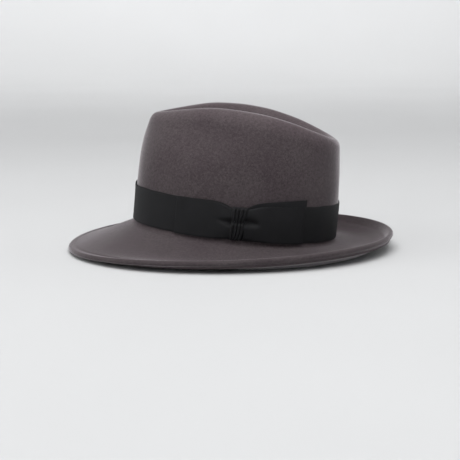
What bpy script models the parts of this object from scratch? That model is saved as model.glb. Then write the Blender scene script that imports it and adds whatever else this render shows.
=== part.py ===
"""Fedora hat: a blocked felt body with its ribbon band and bow, leather sweatband and lining.

Hat frame while building: +X back, -X front, -Y wearer's left (the bow side), +Z up the crown,
origin at the centre of the head opening, level with the fold where crown and brim meet.
All lengths in metres. The finished hat is tipped so that it stands on its own brim.
"""
import math

import bmesh
import bpy
import numpy as np

# Resting pose
TILT = math.radians(6.0)            # front of the head opening lifted this much when it stands

# Felt
FELT = 0.0026                       # thickness of the blocked felt
HEAD_LONG = 0.1020                  # half length of the crown at the brim fold
HEAD_MID = -0.0006                  # middle of the crown outline along the hat
HEAD_WIDE = 0.0855                  # half width of the crown at the brim fold
HEAD_SQUARE = 2.15                  # 2 is an ellipse, larger is squarer
PEAK = 0.1255                       # height of the ridge at its highest point
PEAK_X = -0.0214                    # where along the hat the ridge is highest
FALL_FRONT = 2.93                   # how fast the ridge falls to the front, 1/m
FALL_BACK = 1.87                    # how fast the ridge falls to the back, 1/m
RIDGE_MID = 0.0015                  # middle of the teardrop along the hat
RIDGE_LONG = 0.0946                 # half length of the teardrop
RIDGE_WIDE = 0.0719                 # sets the width of the teardrop
RIDGE_TIP = 0.06                    # bluntness of the front point of the teardrop
WALL_START = 0.30                   # share of the height that stands straight
LEAN_SIDE = 2.8                     # how late the side wall leans in
LEAN_FRONT = 0.08                   # extra lateness of the lean at the front
LEAN_BACK = -1.45                   # and at the back
ROLL_SIDE = 0.009                   # roll of the ridge along the sides
ROLL_ENDS = 0.010                   # roll of the ridge at the front and back
CREASE_LONG = 0.068                 # half length of the crease in the crown
DENT = 0.026                        # depth of the teardrop dent
DENT_BOWL = 0.25                    # 0 rounds the ridges over softly, 1 makes the dent a bowl
CREASE_RUNOUT = 0.5                 # how much shallower the dent is at both ends of its crease
PINCH = 0.0065                      # depth of the two finger dimples
PINCH_AT = (-0.045, 0.100)          # dimple centre, along the hat and up
PINCH_SIZE = (0.030, 0.019)         # dimple half size, along the hat and up

# Brim
BRIM = (0.0603, -0.0041, -0.0006)   # brim width: mean, back to front, ends to sides
EDGE_HEIGHT = (-0.0043, 0.0227, -0.0014, 0.0018, -0.0004) # height of the brim edge round the hat
CURL = (0.0191, 0.0119, -0.0055, -0.0007) # upward curl of the brim round the hat
CURL_POWER = 4                      # how close to the edge the curl sits
FOLD = 0.0035                       # fillet where crown and brim meet
WELT_WIDE = 0.0076                  # width of the felt folded under at the edge
WELT_THICK = 0.0047                 # two layers of felt

# Ribbon band and bow, placed by distance along the left side of the crown, + to the back
GAP = 0.0003                        # clearance between neighbouring pieces
RIBBON = 0.0009                     # thickness of the grosgrain ribbon
BAND_LIFT = 0.0004                  # clearance between felt and band
BAND_LOW = 0.0036                   # lower edge of the band above the fold
BAND_HIGH = 0.0355                  # width of the ribbon
BOW_LIFT = 0.0007                   # clearance between band and bow
BAND_DIP = 0.0075                   # how much the bow pulls the band's upper edge down
BAND_DIP_REACH = 0.012              # how far along the band it is pulled
BAND_GAP = 0.0015                   # gap between the two band ends, hidden by the knot
KNOT_FROM = -0.0059
KNOT_TO = 0.0087
KNOT_LOW = 0.0033
KNOT_TOP = 0.0354
KNOT_PLEATS = 4
KNOT_THICK = 0.0014
PLEAT_DEEP = 0.0004
FRONT_WING_TO = -0.0600
REAR_WING_TO = 0.0655
TAIL_TO = 0.0670
WING_LOW = 0.0032
WING_TOP = 0.0386
WING_WAIST = 0.0060                 # how much a wing narrows, top and bottom, where it enters the knot
WING_THICK = 0.0014
WING_BULGE = 0.0007
TAIL_TOP = 0.0400                   # top of the tail at the knot
TAIL_RISE = 0.0060                  # how much higher its free end stands
TAIL_THICK = 0.0008

# Inside of the crown
LINING_GAP = 0.0010                 # clearance between felt and lining
LINING = 0.0005                     # thickness of the satin
LINING_FROM = 0.33                  # share of the wall where the lining starts, behind the leather
LINING_TO = 0.85                    # share of the wall where wall and tip of the lining meet
TIP_DROP = 0.0095                   # how far the lining tip hangs under the crease
PIPING = 0.0009                     # radius of the piping cord
LEATHER = 0.0012
LEATHER_IN = 0.0049                 # outer face of the leather, measured in from the felt face
SWEAT_LOW = 0.0008
SWEAT_TOP = 0.0510
SWEAT_GAP = 0.006                   # half angle of the seam gap at the back, radians
REED = 0.0009                       # radius of the reed
TAPE = 0.0004                       # thickness of the tape that wraps the reed
REED_DOWN = 0.0016                  # reed centre below the fold
SEAM_BOW_HALF = 0.014
SEAM_BOW_AT = 0.012
SEAM_BOW_HIGH = (0.0016, 0.0050)    # half height at the middle and at the ends
SEAM_BOW_THICK = 0.0012
TAG_TURN = math.radians(26)         # where the size tag sits
TAG_HALF = 0.011
TAG_FROM = 0.016
TAG_TO = 0.030
TAG_THICK = 0.0004

ROUND = 56                          # steps round the hat


def angles(count=ROUND):
    """Evenly spaced directions round the hat, 0 at the back."""
    return np.arange(count) * 2 * math.pi / count


def head_outline(turn):
    """Crown outline at the brim fold."""
    c = np.cos(turn)
    s = np.sin(turn)
    reach = (np.abs(c / HEAD_LONG) ** HEAD_SQUARE + np.abs(s / HEAD_WIDE) ** HEAD_SQUARE) ** (-1 / HEAD_SQUARE)
    return np.stack([HEAD_MID + reach * c, reach * s], -1)


def outward(turn):
    """Unit direction square to the crown outline."""
    step = head_outline(turn + 1e-4) - head_outline(turn - 1e-4)
    side = np.stack([step[..., 1], -step[..., 0]], -1)
    return side / np.linalg.norm(side, axis=-1, keepdims=True)


def ridge_height(x):
    """Height of the ridge above the brim fold at a place along the hat."""
    away = x - PEAK_X
    fall = np.where(away < 0, FALL_FRONT, FALL_BACK)
    return PEAK - fall * away ** 2


def ridge_plan(turn):
    """Teardrop outline of the ridge seen from above."""
    taper = np.sqrt(np.cos(turn / 2) ** 2 + RIDGE_TIP)
    return np.stack([RIDGE_MID + RIDGE_LONG * np.cos(turn), RIDGE_WIDE * np.sin(turn) * taper], -1)


def joined(plan, height):
    return np.concatenate([plan, height[..., None]], -1)


def wall_point(turn, share, inset=0.0):
    """Point on the crown wall; share 0 is the brim fold and 1 the ridge."""
    base = head_outline(turn)
    top = ridge_plan(turn)
    back = np.cos(turn)
    lean_power = LEAN_SIDE + np.where(back < 0, LEAN_FRONT, LEAN_BACK) * back ** 2
    lean = np.clip((share - WALL_START) / (1 - WALL_START), 0, None) ** lean_power
    plan = base + (top - base) * lean[..., None]
    height = share * ridge_height(top[..., 0])
    dimple = np.exp(-((plan[..., 0] - PINCH_AT[0]) / PINCH_SIZE[0]) ** 2
                    - ((height - PINCH_AT[1]) / PINCH_SIZE[1]) ** 2)
    plan = plan - outward(turn) * (PINCH * dimple + inset)[..., None]
    return joined(plan, height)


def wall_at(turn, height, inset=0.0):
    """Point on the crown wall at a given height, moved in by inset."""
    share = height / ridge_height(ridge_plan(turn)[..., 0])
    return wall_point(turn, share, inset + np.zeros_like(turn))


def ridge_apex(turn):
    return wall_point(turn, np.ones_like(turn))


def crease_point(turn):
    """Bottom line of the dent."""
    x = RIDGE_MID + CREASE_LONG * np.cos(turn)
    depth = DENT * (1 - CREASE_RUNOUT * np.cos(turn) ** 4)
    return np.stack([x, np.zeros_like(x), ridge_height(x) - depth], -1)


def dent_point(turn, share):
    """Point on the dent; share 0 is the ridge and 1 the crease."""
    apex = ridge_apex(turn)
    bottom = crease_point(turn)
    plan = apex[..., :2] + (bottom - apex)[..., :2] * share[..., None]
    bowl = np.sin(share * math.pi / 2)
    rounded = 0.5 - 0.5 * np.cos(share * math.pi)
    fall = DENT_BOWL * bowl + (1 - DENT_BOWL) * rounded
    return joined(plan, apex[..., 2] + (bottom - apex)[..., 2] * fall)


def rolled(start, corner, end, t):
    """Quadratic arc that rounds off a corner."""
    return start * (1 - t) ** 2 + corner * (2 * t * (1 - t)) + end * t ** 2


def waves(turn, amounts):
    return sum(a * np.cos(k * turn) for k, a in enumerate(amounts))


def brim_point(turn, share):
    """Point on the upper face of the brim; share 0 is the fold and 1 the edge."""
    wide = waves(turn, BRIM)
    curl = waves(turn, CURL)
    edge = waves(turn, EDGE_HEIGHT)
    plan = head_outline(turn) + outward(turn) * (wide * share)[..., None]
    return joined(plan, (edge - curl) * share + curl * share ** CURL_POWER)


def surface_normals(rings):
    """Outward unit normals of a grid of rings ordered from the crease outwards."""
    grid = np.array(rings)
    along = np.gradient(grid, axis=0)
    around = np.roll(grid, -1, axis=1) - np.roll(grid, 1, axis=1)
    normal = np.cross(along, around)
    return normal / np.linalg.norm(normal, axis=-1, keepdims=True)


def outer_rings(turn):
    """Rings of the outer felt face from the dent, over the ridge, to the edge of the brim."""
    roll = ROLL_SIDE + (ROLL_ENDS - ROLL_SIDE) * np.cos(turn) ** 2
    apex = ridge_apex(turn)
    inner = roll / np.linalg.norm((crease_point(turn) - apex)[..., :2], axis=-1)
    rings = [dent_point(turn, inner + (1 - inner) * s) for s in (0.86, 0.62, 0.40, 0.20)]
    start = dent_point(turn, inner)
    low = 1 - roll / apex[..., 2]
    end = wall_point(turn, low)
    rings += [rolled(start, apex, end, t) for t in (0.0, 0.35, 0.65, 1.0)]
    foot = FOLD / apex[..., 2]
    for s in (0.85, 0.68, 0.48, 0.25):
        rings.append(wall_point(turn, foot + (low - foot) * s))
    wall_foot = wall_point(turn, foot)
    brim_start = FOLD / waves(turn, BRIM)
    brim_foot = brim_point(turn, brim_start)
    corner = brim_point(turn, np.zeros_like(turn))
    rings += [rolled(wall_foot, corner, brim_foot, t) for t in (0.0, 0.35, 0.65, 1.0)]
    last = 1 - 0.5 * WELT_THICK / waves(turn, BRIM)
    for s in (0.25, 0.50, 0.70, 0.86, 1.0):
        rings.append(brim_point(turn, brim_start + (last - brim_start) * s))
    return rings


def felt_rings(turn):
    """All rings of the closed felt body, and the crease lines that close its two ends."""
    outer = outer_rings(turn)
    normal = surface_normals(outer)
    edge, up = outer[-1], normal[-1]
    out = edge - outer[-2]
    out = out / np.linalg.norm(out, axis=-1, keepdims=True)
    rings = list(outer)
    radius = WELT_THICK / 2
    for bend in (40, 90, 140, 180):
        a = math.radians(bend)
        rings.append(edge + out * (radius * math.sin(a)) - up * (radius - radius * math.cos(a)))
    welt = WELT_WIDE - radius
    rings.append(edge - out * (welt - 0.0008) - up * WELT_THICK)
    rings.append(edge - out * welt - up * (WELT_THICK - 0.0008))
    rings.append(edge - out * (welt + 0.0003) - up * FELT)
    for k in range(len(outer) - 3, -1, -1):
        rings.append(outer[k] - normal[k] * FELT)
    return rings


def make_material(name, colour, roughness, sheen):
    material = bpy.data.materials.new(name)
    material.use_nodes = True
    shader = material.node_tree.nodes["Principled BSDF"]
    shader.inputs["Base Color"].default_value = (*colour, 1.0)
    shader.inputs["Roughness"].default_value = roughness
    shader.inputs["Sheen Weight"].default_value = sheen
    return material


def make_object(name, verts, faces, look, pose):
    """One closed body with its own material, carried by the pose empty."""
    mesh = bpy.data.meshes.new(name)
    mesh.from_pydata([tuple(float(c) for c in v) for v in verts], [], faces)
    shape = bmesh.new()
    shape.from_mesh(mesh)
    bmesh.ops.recalc_face_normals(shape, faces=shape.faces)
    shape.to_mesh(mesh)
    shape.free()
    for polygon in mesh.polygons:
        polygon.use_smooth = True
    part = bpy.data.objects.new(name, mesh)
    bpy.context.scene.collection.objects.link(part)
    part.parent = pose
    part.data.materials.append(make_material(name + "_material", *look))
    return part


def loop_faces(count, around, closed):
    """Quads between neighbouring loops of equal length; the last joins the first when closed."""
    faces = []
    for r in range(count if closed else count - 1):
        for k in range(around):
            a = r * around + k
            b = r * around + (k + 1) % around
            c = ((r + 1) % count) * around + (k + 1) % around
            d = ((r + 1) % count) * around + k
            faces.append((a, b, c, d))
    return faces


def swept(stations, closed):
    """Closed body from sections of equal length; open sweeps are capped at both ends."""
    count, around = len(stations), len(stations[0])
    faces = loop_faces(count, around, closed)
    if not closed:
        faces.append(tuple(range(around))[::-1])
        faces.append(tuple((count - 1) * around + k for k in range(around)))
    return np.concatenate(stations), faces


def strip(outer, inner, closed):
    """Closed body between two grids of rows; both grids are rows of points along the strip."""
    rows = list(outer) + list(inner)[::-1]
    return swept([np.array([row[k] for row in rows]) for k in range(len(rows[0]))], closed)


def closing_faces(ring, line, around):
    """Faces between the innermost ring and a middle line that mirrored points share."""
    faces = []
    for k in range(around):
        n = (k + 1) % around
        faces.append((ring + k, ring + n, line + min(n, around - n), line + min(k, around - k)))
    return faces


def felt_body(pose):
    """Crown and brim blocked from one piece of felt, the brim edge folded under."""
    rings = felt_rings(angles())
    line = crease_point(angles()[:ROUND // 2 + 1])
    faces = loop_faces(len(rings), ROUND, False)
    start = len(rings) * ROUND
    faces += closing_faces(0, start, ROUND)
    faces += closing_faces(start - ROUND, start + len(line), ROUND)
    verts = np.concatenate(rings + [line, line - np.array([0, 0, FELT])])
    return make_object("felt_body", verts, faces, ((0.075, 0.060, 0.064), 0.95, 0.3), pose)


def side_turn(distance):
    """Direction round the hat of a point on the left side, by distance along the outline."""
    turn = np.linspace(math.radians(-150), math.radians(-30), 400)
    outline = head_outline(turn)
    steps = np.linalg.norm(np.diff(outline, axis=0), axis=1)
    length = np.concatenate([[0], np.cumsum(steps)])
    length -= np.interp(0, outline[:, 0], length)
    return np.interp(distance, length, turn)


def ribbon_slab(distances, low, top, lift, thick, rows):
    """Sections of a ribbon piece lying on the left side of the crown."""
    stations = []
    for k, distance in enumerate(distances):
        turn = side_turn(distance) + np.zeros(rows)
        height = np.linspace(low[k], top[k], rows)
        outer = wall_at(turn, height, -(lift[k] + thick[k]))
        inner = wall_at(turn, height, -lift[k])
        stations.append(np.concatenate([outer, inner[::-1]]))
    return stations


RIBBON_LOOK = ((0.012, 0.012, 0.014), 0.6, 0.1)
LEATHER_LOOK = ((0.055, 0.032, 0.020), 0.5, 0.0)
SATIN_LOOK = ((0.040, 0.038, 0.042), 0.35, 0.1)


def hatband(pose):
    """Grosgrain band round the foot of the crown, its ends meeting behind the knot."""
    middle = side_turn((KNOT_FROM + KNOT_TO) / 2)
    half = BAND_GAP / 2 / HEAD_WIDE
    turn = np.linspace(middle + half, middle + 2 * math.pi - half, ROUND + 1)
    away = np.minimum(turn - middle, middle + 2 * math.pi - turn) * HEAD_WIDE
    high = BAND_HIGH - BAND_DIP * np.exp(-(away / BAND_DIP_REACH) ** 2)
    rows = [BAND_LOW + high * s for s in (0.0, 0.5, 1.0)]
    outer = [wall_at(turn, h, -(BAND_LIFT + RIBBON)) for h in rows]
    inner = [wall_at(turn, h, -BAND_LIFT) for h in rows]
    return make_object("hatband", *strip(outer, inner, False), RIBBON_LOOK, pose)


def bow_wing(name, near, far, lift, pose):
    """Flat folded loop of the bow, narrowed where it enters the knot."""
    share = np.linspace(0, 1, 7)
    waist = WING_WAIST * (1 - share) ** 3
    low = WING_LOW + 0.5 * waist
    top = WING_TOP - waist
    thick = WING_THICK + WING_BULGE * np.sin(math.pi * share)
    stations = ribbon_slab(near + (far - near) * share, low, top, lift + np.zeros(7), thick, 4)
    return make_object(name, *swept(stations, False), RIBBON_LOOK, pose)


def bow_tail(pose):
    """Loose end of the ribbon under the rear wing, cut square."""
    share = np.linspace(0, 1, 7)
    top = TAIL_TOP + TAIL_RISE * share ** 0.6
    lift = np.full(7, BAND_LIFT + RIBBON + BOW_LIFT)
    thick = np.full(7, TAIL_THICK)
    distances = KNOT_TO + GAP + (TAIL_TO - KNOT_TO) * share
    stations = ribbon_slab(distances, np.full(7, WING_LOW), top, lift, thick, 4)
    return make_object("bow_tail", *swept(stations, False), RIBBON_LOOK, pose)


def bow_knot(pose):
    """Pleated keeper between the two wings."""
    count = 4 * KNOT_PLEATS + 1
    share = np.linspace(0, 1, count)
    pleat = PLEAT_DEEP * np.cos(share * KNOT_PLEATS * 2 * math.pi)
    thick = KNOT_THICK - PLEAT_DEEP - pleat
    lift = np.full(count, BAND_LIFT + RIBBON + GAP)
    distances = KNOT_FROM + (KNOT_TO - KNOT_FROM) * share
    low = np.full(count, KNOT_LOW)
    top = np.full(count, KNOT_TOP)
    stations = ribbon_slab(distances, low, top, lift, thick + TAIL_THICK + WING_THICK, 3)
    return make_object("bow_knot", *swept(stations, False), RIBBON_LOOK, pose)


def bow(pose):
    over_band = BAND_LIFT + RIBBON + BOW_LIFT
    over_tail = over_band + TAIL_THICK + GAP
    bow_wing("bow_front_wing", KNOT_FROM - GAP, FRONT_WING_TO, over_band, pose)
    bow_wing("bow_rear_wing", KNOT_TO + GAP, REAR_WING_TO, over_tail, pose)
    bow_tail(pose)
    bow_knot(pose)


def lining_levels():
    """Shares of the crown height at the lower and upper edge of the lining wall."""
    turn = angles()
    height = ridge_apex(turn)[..., 2]
    foot = FOLD / height
    low = 1 - (ROLL_SIDE + (ROLL_ENDS - ROLL_SIDE) * np.cos(turn) ** 2) / height
    shares = (LINING_TO, 0.68, 0.48, LINING_FROM)
    return [wall_point(turn, foot + (low - foot) * s) for s in shares]


def offset_rings(rings, depth):
    normal = surface_normals(rings)
    return [ring - normal[k] * depth for k, ring in enumerate(rings)]


def lining_wall(pose):
    """Satin side of the lining, its lower edge behind the leather."""
    rings = lining_levels()
    outer = offset_rings(rings, FELT + LINING_GAP)
    inner = offset_rings(rings, FELT + LINING_GAP + LINING)
    return make_object("lining_wall", *strip(outer, inner, True), SATIN_LOOK, pose)


def lining_piping(pose):
    """Cord in the seam between lining wall and tip."""
    centre = offset_rings(lining_levels(), FELT + LINING_GAP + LINING + GAP + PIPING)[0]
    out = outward(angles())
    stations = []
    for k in range(ROUND):
        side = np.array([out[k][0], out[k][1], 0.0])
        bends = np.arange(5) * 2 * math.pi / 5
        stations.append([centre[k] + PIPING * (side * math.cos(b) + np.array([0, 0, math.sin(b)])) for b in bends])
    return make_object("lining_piping", *swept(stations, True), SATIN_LOOK, pose)


def lining_tip(pose):
    """Satin top of the lining, hanging just under the dent."""
    edge = offset_rings(lining_levels(), FELT + LINING_GAP + LINING + 2 * GAP + 2 * PIPING)[0]
    middle = crease_point(angles()) - np.array([0, 0, TIP_DROP])
    down = np.array([0, 0, LINING])
    rings = []
    for share in (0.72, 0.36, 0.0):
        sink = math.sin(share * math.pi / 2)
        plan = edge[..., :2] + (middle - edge)[..., :2] * share
        rings.append(joined(plan, edge[..., 2] + (middle - edge)[..., 2] * sink))
    rings += [ring - down for ring in rings[::-1]]
    line = middle[:ROUND // 2 + 1]
    faces = loop_faces(len(rings), ROUND, False)
    start = len(rings) * ROUND
    faces += closing_faces(0, start, ROUND)
    faces += closing_faces(start - ROUND, start + len(line), ROUND)
    verts = np.concatenate(rings + [line, line - down])
    return make_object("lining_tip", verts, faces, SATIN_LOOK, pose)


def seam_turns():
    """Directions round the hat from one side of the back seam to the other."""
    return np.linspace(SWEAT_GAP, 2 * math.pi - SWEAT_GAP, ROUND + 1)


def sweatband(pose):
    """Leather band inside the head opening, seamed at the back."""
    rows = [SWEAT_LOW, (SWEAT_LOW + SWEAT_TOP) / 2, SWEAT_TOP]
    outer = [wall_at(seam_turns(), h, LEATHER_IN) for h in rows]
    inner = [wall_at(seam_turns(), h, LEATHER_IN + LEATHER) for h in rows]
    return make_object("sweatband", *strip(outer, inner, False), LEATHER_LOOK, pose)


def round_section(centre, side, radius, bends):
    up = np.array([0, 0, 1.0])
    return [centre + radius * (side * math.cos(b) + up * math.sin(b)) for b in bends]


def reed_line():
    """Centre line of the reed just under the lower edge of the leather."""
    turn = seam_turns()
    centre = wall_at(turn, np.zeros_like(turn), LEATHER_IN + LEATHER / 2)
    out = outward(turn)
    return centre - np.array([0, 0, REED_DOWN]), joined(out, np.zeros(len(out)))


def sweatband_reed(pose):
    """Springy reed that keeps the head opening oval."""
    centre, out = reed_line()
    bends = np.arange(6) * 2 * math.pi / 6
    stations = [round_section(c, o, REED, bends) for c, o in zip(centre, out)]
    look = ((0.55, 0.55, 0.52), 0.4, 0.0)
    return make_object("sweatband_reed", *swept(stations, False), look, pose)


def reed_tape(pose):
    """Cloth tape folded round the reed, open towards the leather."""
    centre, out = reed_line()
    bends = np.radians(np.linspace(130, 410, 6))
    stations = []
    for c, o in zip(centre, out):
        outside = round_section(c, o, REED + GAP + TAPE, bends)
        inside = round_section(c, o, REED + GAP, bends[::-1])
        stations.append(np.array(outside + inside))
    look = ((0.020, 0.020, 0.022), 0.9, 0.0)
    return make_object("reed_tape", *swept(stations, False), look, pose)


def inner_slab(turns, low, top, lift, thick):
    """Sections of a small piece lying on the inner face of the leather."""
    stations = []
    for k, turn in enumerate(turns):
        both = np.array([turn, turn])
        height = np.array([low[k], top[k]])
        outer = wall_at(both, height, LEATHER_IN + LEATHER + lift)
        inner = wall_at(both, height, LEATHER_IN + LEATHER + lift + thick)
        stations.append(np.concatenate([outer, inner[::-1]]))
    return stations


def sweatband_bow(pose):
    """Small ribbon bow that covers the back seam of the leather."""
    share = np.linspace(-1, 1, 9)
    half = SEAM_BOW_HIGH[0] + (SEAM_BOW_HIGH[1] - SEAM_BOW_HIGH[0]) * np.abs(share)
    turns = share * SEAM_BOW_HALF / HEAD_LONG * 1.3
    stations = inner_slab(turns, SEAM_BOW_AT - half, SEAM_BOW_AT + half, GAP, SEAM_BOW_THICK)
    return make_object("sweatband_bow", *swept(stations, False), RIBBON_LOOK, pose)


def size_tag(pose):
    """Paper size tag on the leather."""
    turns = TAG_TURN + np.linspace(-1, 1, 4) * TAG_HALF / HEAD_LONG * 1.3
    stations = inner_slab(turns, np.full(4, TAG_FROM), np.full(4, TAG_TO), 2 * GAP, TAG_THICK)
    look = ((0.70, 0.68, 0.62), 0.8, 0.0)
    return make_object("size_tag", *swept(stations, False), look, pose)


def stand_on_brim(pose, body):
    """Tip the hat to its resting angle and put its lowest point on the ground, centred."""
    pose.rotation_euler = (0, TILT, 0)
    turned = [pose.rotation_euler.to_matrix() @ v.co for v in body.data.vertices]
    x = [v.x for v in turned]
    pose.location = (-(min(x) + max(x)) / 2, 0, -min(v.z for v in turned))


def main():
    for item in list(bpy.data.objects):
        bpy.data.objects.remove(item, do_unlink=True)
    pose = bpy.data.objects.new("hat_pose", None)
    bpy.context.scene.collection.objects.link(pose)
    body = felt_body(pose)
    hatband(pose)
    bow(pose)
    lining_wall(pose)
    lining_piping(pose)
    lining_tip(pose)
    sweatband(pose)
    sweatband_reed(pose)
    reed_tape(pose)
    sweatband_bow(pose)
    size_tag(pose)
    stand_on_brim(pose, body)


main()
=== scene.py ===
"""Looks of the fedora hat: fine felt, ribbon, bow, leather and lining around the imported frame."""
import math

import bmesh
import bpy
import numpy as np
from mathutils import Matrix, Vector


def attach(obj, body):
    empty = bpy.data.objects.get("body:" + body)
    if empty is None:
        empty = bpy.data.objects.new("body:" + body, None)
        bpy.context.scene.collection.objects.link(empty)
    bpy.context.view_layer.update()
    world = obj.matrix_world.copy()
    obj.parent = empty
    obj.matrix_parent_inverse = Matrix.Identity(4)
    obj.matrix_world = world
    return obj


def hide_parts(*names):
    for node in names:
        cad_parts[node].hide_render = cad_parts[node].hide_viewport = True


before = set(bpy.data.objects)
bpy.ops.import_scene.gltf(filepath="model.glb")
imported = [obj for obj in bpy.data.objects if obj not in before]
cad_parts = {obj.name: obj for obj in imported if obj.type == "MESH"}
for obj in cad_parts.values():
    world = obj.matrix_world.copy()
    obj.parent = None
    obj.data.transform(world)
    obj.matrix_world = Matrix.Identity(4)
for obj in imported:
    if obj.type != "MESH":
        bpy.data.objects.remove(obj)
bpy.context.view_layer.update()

# The hat frame: +X back, -Y the wearer's left, +Z up the crown, origin in the head opening at
# the fold of crown and brim. The hat is tipped to stand on its brim. Lengths in metres.
TILT = math.radians(6.0)
HAT_AT = (0.00429, 0.0, 0.01810)

# Felt: the CAD body, drawn finer and with rounder ridges
FELT = 0.0026                       # thickness
HEAD_LONG = 0.1020
HEAD_MID = -0.0006
HEAD_WIDE = 0.0855
HEAD_SQUARE = 2.15
PEAK = 0.1278
PEAK_X = -0.0214
FALL_FRONT = 2.93
FALL_BACK = 1.87
RIDGE_MID = 0.0015
RIDGE_LONG = 0.0946
RIDGE_WIDE = 0.0745
RIDGE_TIP = 0.06
WALL_START = 0.30
LEAN_SIDE = 2.8
LEAN_FRONT = 0.08
LEAN_BACK = -1.45
ROLL_SIDE = 0.012
ROLL_ENDS = 0.010
ROLL_DOWN = 1.5                     # the roll reaches further down the wall than into the dent
CREASE_LONG = 0.068
DENT = 0.026
DENT_BOWL = 0.25                    # 0 rounds the ridges over softly, 1 makes the dent a bowl
CREASE_RUNOUT = 0.5
PINCH = 0.0075
PINCH_AT = (-0.045, 0.100)
PINCH_SIZE = (0.030, 0.019)
RIPPLE = 0.00020                    # soft unevenness of hand-blocked felt

# Brim: width, height of the edge and curl, each as amounts of cos(0), cos(turn), cos(2 turn)...
BRIM = (0.0603, -0.0041, -0.0006)
EDGE_HEIGHT = (-0.0043, 0.0227, -0.0014, 0.0018, -0.0004)
CURL = (0.0191, 0.0119, -0.0055, -0.0007)
CURL_POWER = 4
FOLD = 0.0035
WELT_WIDE = 0.0076
WELT_THICK = 0.0047
WELT_LIP = 0.0007                   # the cut edge of the underwelt stands out a little
# The underwelt's cut edge, as shares of its width and of its lip
WELT_SECTION = ((0.30, -0.35), (0.55, -0.45), (0.72, -0.25), (0.80, 0.25), (0.86, 0.75), (0.92, 1.0),
                (0.98, 0.75), (1.02, 0.1), (1.04, -1.0), (1.02, -2.2))
BEAD = 0.00040                      # the rim is drawn up into a soft bead
BEAD_WIDE = 0.0024
BEAD_GROOVE = 0.00050               # and a shallow groove runs inside it
BEAD_GROOVE_AT = 0.0068
BEAD_GROOVE_WIDE = 0.0018
BRIM_RIM = 0.0130                   # the rim is sampled finely over this width
RIM_RINGS = 22

# Ribbon
RIBBON = 0.0008
BAND_LIFT = 0.0003
BAND_LOW = 0.0036
BAND_HIGH = 0.0355
BAND_DIP = 0.0075
BAND_DIP_REACH = 0.012
BAND_GAP = 0.0015
BAND_WAVES = (0.0002, 0.00015)      # unevenness of its upper edge
BAND_FLARE = 0.0006                 # the upper edge stands off the felt at the front
RIB = 0.00080                       # pitch of the grosgrain ribs
SELVEDGE = 0.0016                   # the woven edge: a raised line this far in, and a thin lip
SELVEDGE_LINE = 0.00012
SELVEDGE_WIDE = 0.0005
SELVEDGE_THIN = 0.00025
OVER_BAND = 0.0017
OVER_TAIL = 0.0026
END_PRESS = 0.0004                  # the folded ends of the wings lie closer to the band
KNOT_FROM = -0.0059
KNOT_TO = 0.0087
KNOT_LEAN = 0.0030                  # the knot slants: its foot lies nearer the front
KNOT_LOW = 0.0033
KNOT_TOP = 0.0354
KNOT_PLEATS = 4
KNOT_FLAT = 0.022                   # width of the keeper before it is pleated
KNOT_RISE = 0.0030
KNOT_TUCK = 0.0020                  # how far the foot of the knot leans in
PLEAT_DEEP = 0.0020
RIBBON_THIN = 0.00045
FRONT_WING_TO = -0.0600
REAR_WING_TO = 0.0655
TAIL_TO = 0.0670
WING_LOW = 0.0032
WING_TOP = 0.0386
WING_FOOT = 0.0016                  # a wing's lower edge rises this much at the knot
FRONT_WING_DIP = (0.0052, 0.0100)   # its upper edge falls: how much, and over what length
REAR_WING_DIP = (0.0046, 0.0110)
FRONT_WING_CREST = (0.0010, -0.030, 0.020)  # its upper edge stands up: how much, where, how widely
UNDER_KNOT = 0.002                  # the wings and the tail reach in under the knot
TAIL_TOP = 0.0400
TAIL_RISE = 0.0060                  # its free end stands this much higher
TAIL_DIP = (0.0066, 0.0065)         # its upper edge falls into the knot: how much, and over what length
CREASE_FRONT = (0.0194, -0.20)      # fold pressed across the bow: height beside the knot, and slope
CREASE_REAR = (0.0216, -0.10)
CREASE_REACH = (0.0150, 0.0125)     # its length on the front and the rear wing
CREASE_DEEP = 0.0042
CREASE_FLANK = 0.0040               # width of its flank above, and below
CREASE_BELOW = 0.0022
BOW_RISE = 0.0022                   # how far the wings puff out beside the knot
BOW_PUFF_REACH = 0.017

# Inside
LINING_GAP = 0.0010
LINING = 0.0004
LINING_FROM = 0.33
LINING_TO = 0.85
TIP_DROP = 0.0095                   # the satin tip hangs this far below the crease
TIP_PUCKER = 0.0005
PIPING = 0.0009
LEATHER = 0.0012
LEATHER_IN = 0.0049
SWEAT_LOW = 0.0008
SWEAT_TOP = 0.0510
SWEAT_GAP = 0.006
REED = 0.0009
TAPE = 0.0004
REED_DOWN = 0.0016
STITCH = 0.0036                     # pitch of the stitches that hold the leather
STITCH_RISE = 0.00035
THREAD = 0.00022                    # radius of the sewing thread
SEAM_FROM = 0.0185                  # the zigzag up the back seam: its foot, step and half turn
SEAM_STEP = 0.0022
SEAM_TURN = 0.020
SEAM_ZIGZAGS = 14
SEAM_BOW_HALF = 0.014
SEAM_BOW_FROM = 0.0012
SEAM_BOW_PUFF = 0.0009
SEAM_BOW_AT = 0.012                 # height of its middle on the leather
SEAM_BOW_HIGH = (0.0016, 0.0050)
TAG_TURN = math.radians(26)
TAG_HALF = 0.011
TAG_FROM = 0.016
TAG_TO = 0.030
TAG_CORNER = 0.0018
TAG_BORDER = 0.0016                 # printed line, this far inside the edge
TAG_LINE = 0.00018

AROUND = 256

# Felt colours, linear
FELT_DARK = (0.060, 0.048, 0.052)
FELT_PALE = (0.070, 0.058, 0.061)
FELT_BLOOM = (0.95, 0.90, 0.93, 1)
FELT_SHEEN = 0.75
HIGHLIGHT_DEEP = 0.018                    # how far below the ridges the felt is painted lighter: a painted highlight
# how much lighter the felt is painted on the ridges: a painted highlight
RIDGE_HIGHLIGHT = (1.55, 1.52, 1.53)

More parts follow.
